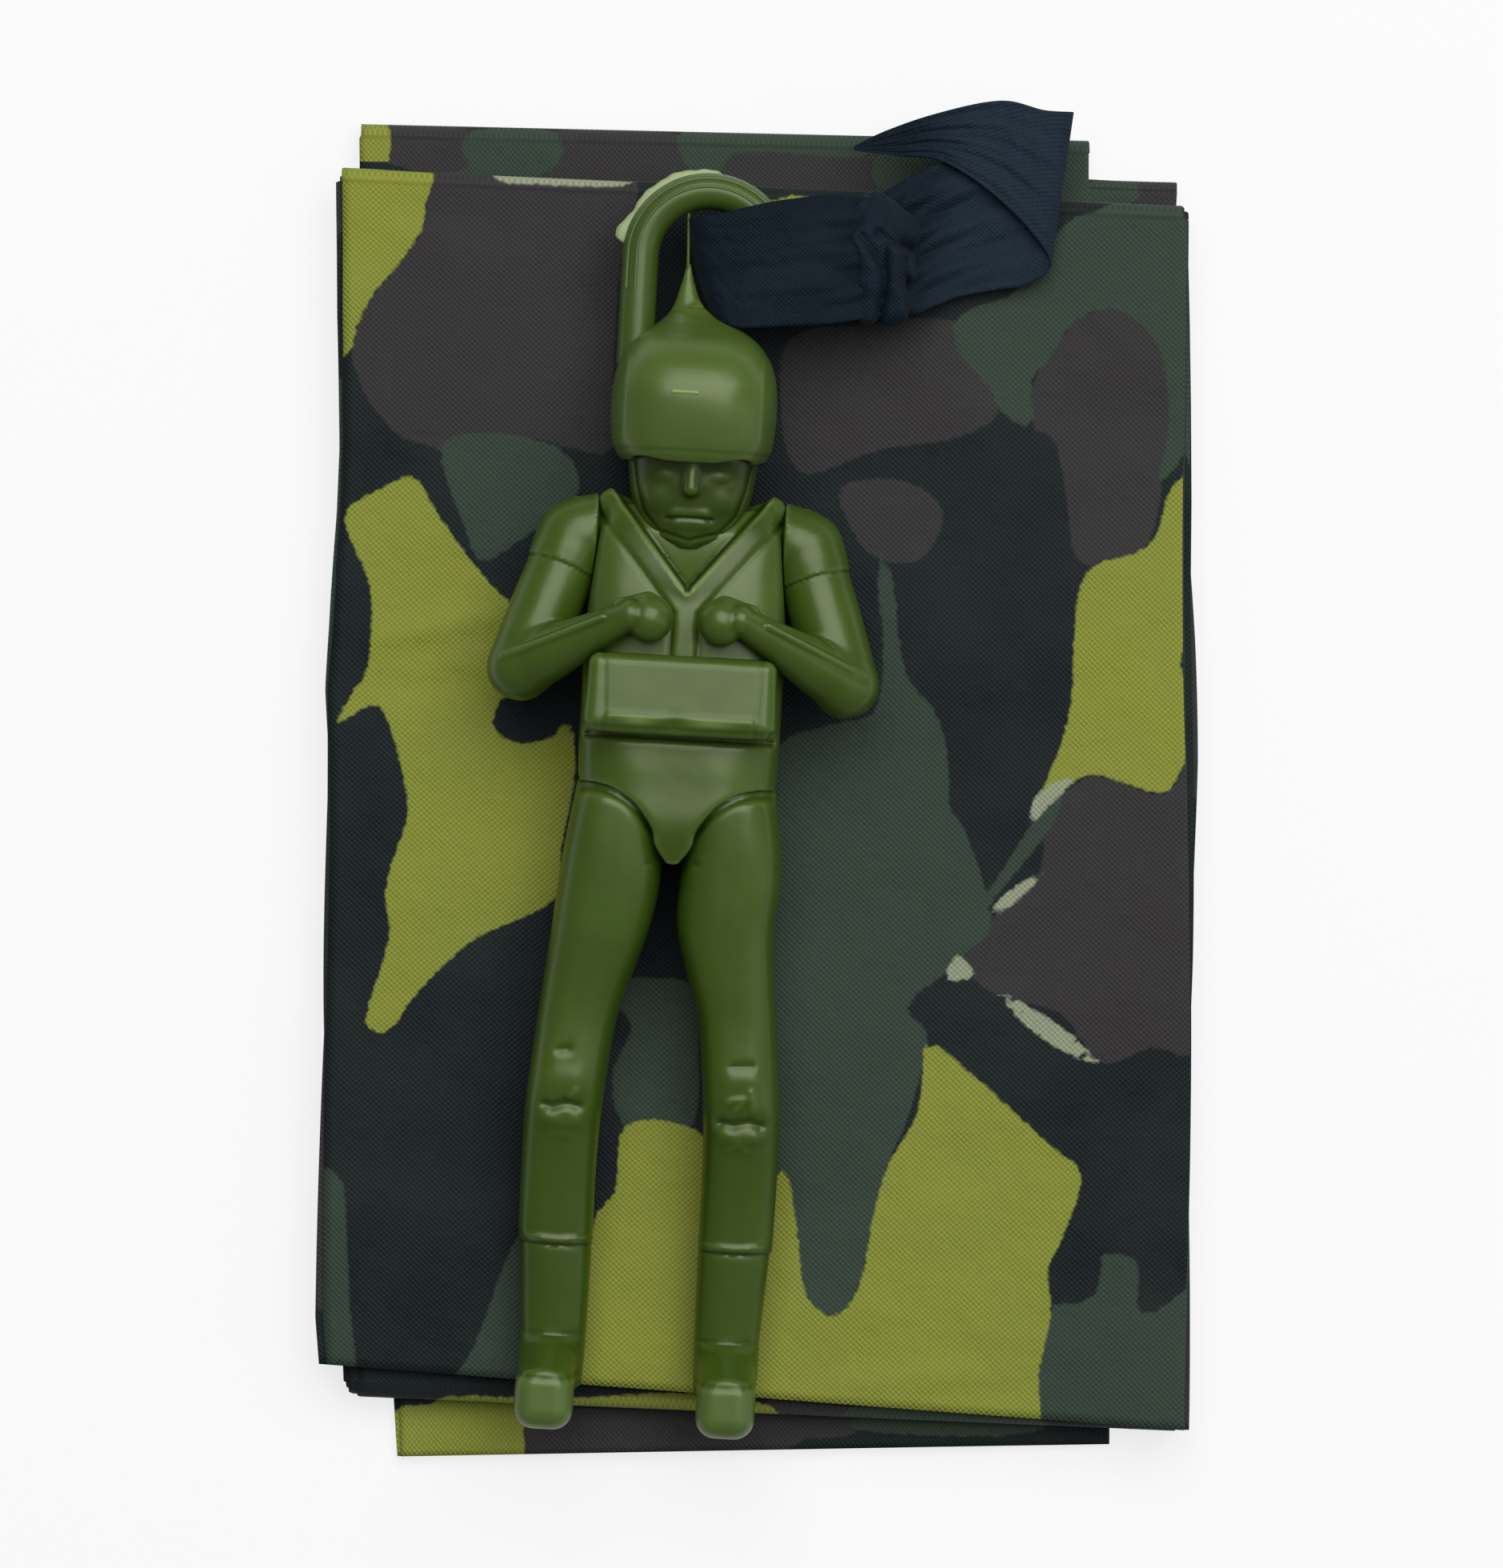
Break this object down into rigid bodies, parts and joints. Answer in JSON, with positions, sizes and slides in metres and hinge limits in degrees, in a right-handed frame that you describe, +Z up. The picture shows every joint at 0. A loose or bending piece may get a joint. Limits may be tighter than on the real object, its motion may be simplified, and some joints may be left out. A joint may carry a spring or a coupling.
{
  "type": "toy paratrooper figure",
  "caption": "Glossy moulded toy paratrooper with swinging arms and legs and a crook hook, lying on its folded camouflage cloth canopy, with a dark tie strap.",
  "frame": {"origin": "middle of the folded canopy's underside, on the surface that it lies on", "axes": "+Y towards the figure's head, +X towards the figure's left arm, +Z up out of the figure's chest"},
  "size_m": [0.0723, 0.1102, 0.021],
  "materials": {
    "figure_plastic": "glossy",
    "hook_plastic": "glossy",
    "canopy_cloth": "printed woven polyester, folded",
    "strap_cloth": "woven, slight sheen"
  },
  "bodies": {
    "canopy": {"canopy": "canopy_cloth", "tie_strap": "strap_cloth"},
    "torso": {"torso_front": "figure_plastic", "torso_back": "figure_plastic", "reserve_pack": "figure_plastic", "head": "figure_plastic", "helmet": "figure_plastic", "suspension_hook": "hook_plastic", "hip_pin": "hook_plastic"},
    "left_arm": {"left_arm": "figure_plastic"},
    "right_arm": {"right_arm": "figure_plastic"},
    "left_leg": {"left_leg": "figure_plastic"},
    "right_leg": {"right_leg": "figure_plastic"}
  },
  "joints": [
    {"name": "figure_lift", "type": "slide", "parent": "canopy", "child": "torso", "axis": [0, 0, 1], "range_m": [0, 0.006], "deforming": ["tie_strap"]},
    {"name": "left_shoulder", "type": "hinge", "parent": "torso", "child": "left_arm", "pos_m": [0.00085, 0.01985, 0.0112], "axis": [-1, 0, 0], "range_deg": [0, 60]},
    {"name": "right_shoulder", "type": "hinge", "parent": "torso", "child": "right_arm", "pos_m": [-0.01375, 0.01985, 0.0112], "axis": [-1, 0, 0], "range_deg": [0, 60]},
    {"name": "left_hip", "type": "hinge", "parent": "torso", "child": "left_leg", "pos_m": [-0.0017, -0.00405, 0.0112], "axis": [-1, 0, 0], "range_deg": [0, 35]},
    {"name": "right_hip", "type": "hinge", "parent": "torso", "child": "right_leg", "pos_m": [-0.0112, -0.00405, 0.0112], "axis": [-1, 0, 0], "range_deg": [0, 35]}
  ]
}
